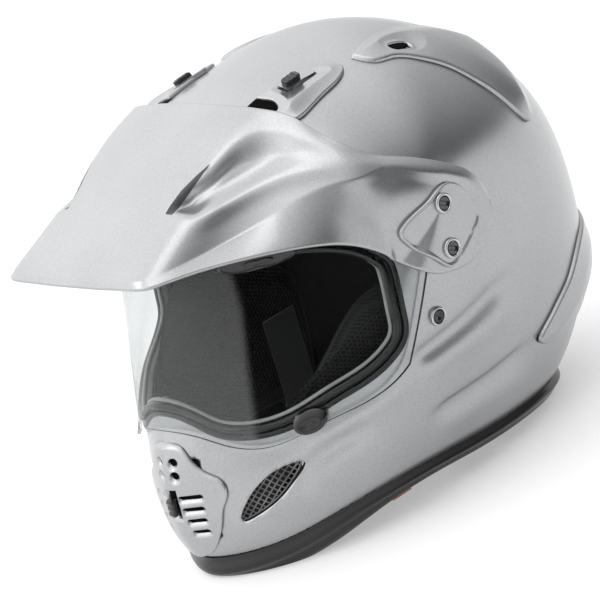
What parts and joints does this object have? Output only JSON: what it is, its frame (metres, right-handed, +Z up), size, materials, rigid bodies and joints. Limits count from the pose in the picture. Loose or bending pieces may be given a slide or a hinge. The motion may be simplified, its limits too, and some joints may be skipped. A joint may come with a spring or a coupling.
{
  "type": "dual sport helmet",
  "caption": "Full-face off-road road helmet shell with a long sun peak, clear face shield, chin vent, top and rear air ducts, cheek pads, padded lining and chin strap.",
  "frame": {"origin": "centre of the overall box, on the plane the helmet rests on", "axes": "-Y is the way the wearer faces, +X is the wearer's left, +Z is up"},
  "size_m": [0.2606, 0.3176, 0.2504],
  "materials": {
    "silver_shell": "metallic silver paint",
    "black_rubber": "satin",
    "foam": "matt beaded foam",
    "lining_fabric": "grey mesh fabric",
    "clear_shield": "clear polycarbonate",
    "smoked_shield": "smoked",
    "bright_screw": "satin",
    "black_plastic": "satin",
    "strap_webbing": "woven webbing",
    "pull_tab": "orange woven tab"
  },
  "bodies": {
    "helmet": {"outer_shell": "silver_shell", "edge_trim": "black_rubber", "port_gasket": "black_rubber", "crown_liner": "foam", "comfort_liner": "lining_fabric", "chin_liner": "foam", "neck_roll": "lining_fabric", "peak": "silver_shell", "pod_screws": "bright_screw", "chin_vent_cover": "silver_shell", "stud_rings": "bright_screw", "stud_plugs": "black_plastic", "strap_anchors": "bright_screw", "strap_left": "strap_webbing", "strap_right": "strap_webbing", "cheek_pad_left": "lining_fabric", "cheek_pad_right": "lining_fabric", "pivot_base_left": "black_plastic", "pivot_base_right": "black_plastic", "pod_plate_left": "silver_shell", "pod_plate_right": "silver_shell", "top_duct_left": "silver_shell", "top_duct_right": "silver_shell", "rear_duct_left": "silver_shell", "rear_duct_right": "silver_shell", "side_cowl_left": "silver_shell", "side_cowl_right": "silver_shell", "side_grille_left": "black_plastic", "side_grille_right": "black_plastic", "release_tab_left": "pull_tab", "release_tab_right": "pull_tab"},
    "shield": {"face_shield": "clear_shield", "shield_tab": "black_plastic"},
    "brow_left": {"brow_shutter_left": "smoked_shield"},
    "brow_right": {"brow_shutter_right": "smoked_shield"},
    "slider_left": {"top_slider_left": "black_plastic"},
    "slider_right": {"top_slider_right": "black_plastic"},
    "chin_shutter": {"chin_vent_toggle": "black_plastic"},
    "ring_outer": {"d_ring_outer": "bright_screw"},
    "ring_inner": {"d_ring_inner": "bright_screw"}
  },
  "joints": [
    {"name": "shield_hinge", "type": "hinge", "parent": "helmet", "child": "shield", "pos_m": [0, -0.00692, 0.14094], "axis": [-1, 0, 0], "range_deg": [0, 7]},
    {"name": "brow_left_slide", "type": "hinge", "parent": "shield", "child": "brow_left", "pos_m": [0, -0.0017, 0.17025], "axis": [0, 0.0412, 0.9992], "range_deg": [0, 1.6]},
    {"name": "brow_right_slide", "type": "hinge", "parent": "shield", "child": "brow_right", "pos_m": [0, -0.0017, 0.17025], "axis": [0, -0.0412, -0.9992], "range_deg": [0, 1.6]},
    {"name": "slider_left_slide", "type": "slide", "parent": "helmet", "child": "slider_left", "axis": [0, 0.9952, 0.0981], "range_m": [0, 0.007]},
    {"name": "slider_right_slide", "type": "slide", "parent": "helmet", "child": "slider_right", "axis": [0, 0.9952, 0.0981], "range_m": [0, 0.007]},
    {"name": "chin_shutter_slide", "type": "slide", "parent": "helmet", "child": "chin_shutter", "axis": [0, 0.0412, 0.9992], "range_m": [0, 0.005]},
    {"name": "ring_outer_hinge", "type": "hinge", "parent": "helmet", "child": "ring_outer", "pos_m": [0.03687, -0.01991, 0.06841], "axis": [0, 0.9992, -0.0412], "range_deg": [0, 8]},
    {"name": "ring_inner_hinge", "type": "hinge", "parent": "ring_outer", "child": "ring_inner", "pos_m": [0.03427, -0.01991, 0.06841], "axis": [0, 0.9992, -0.0412], "range_deg": [0, 60]}
  ]
}
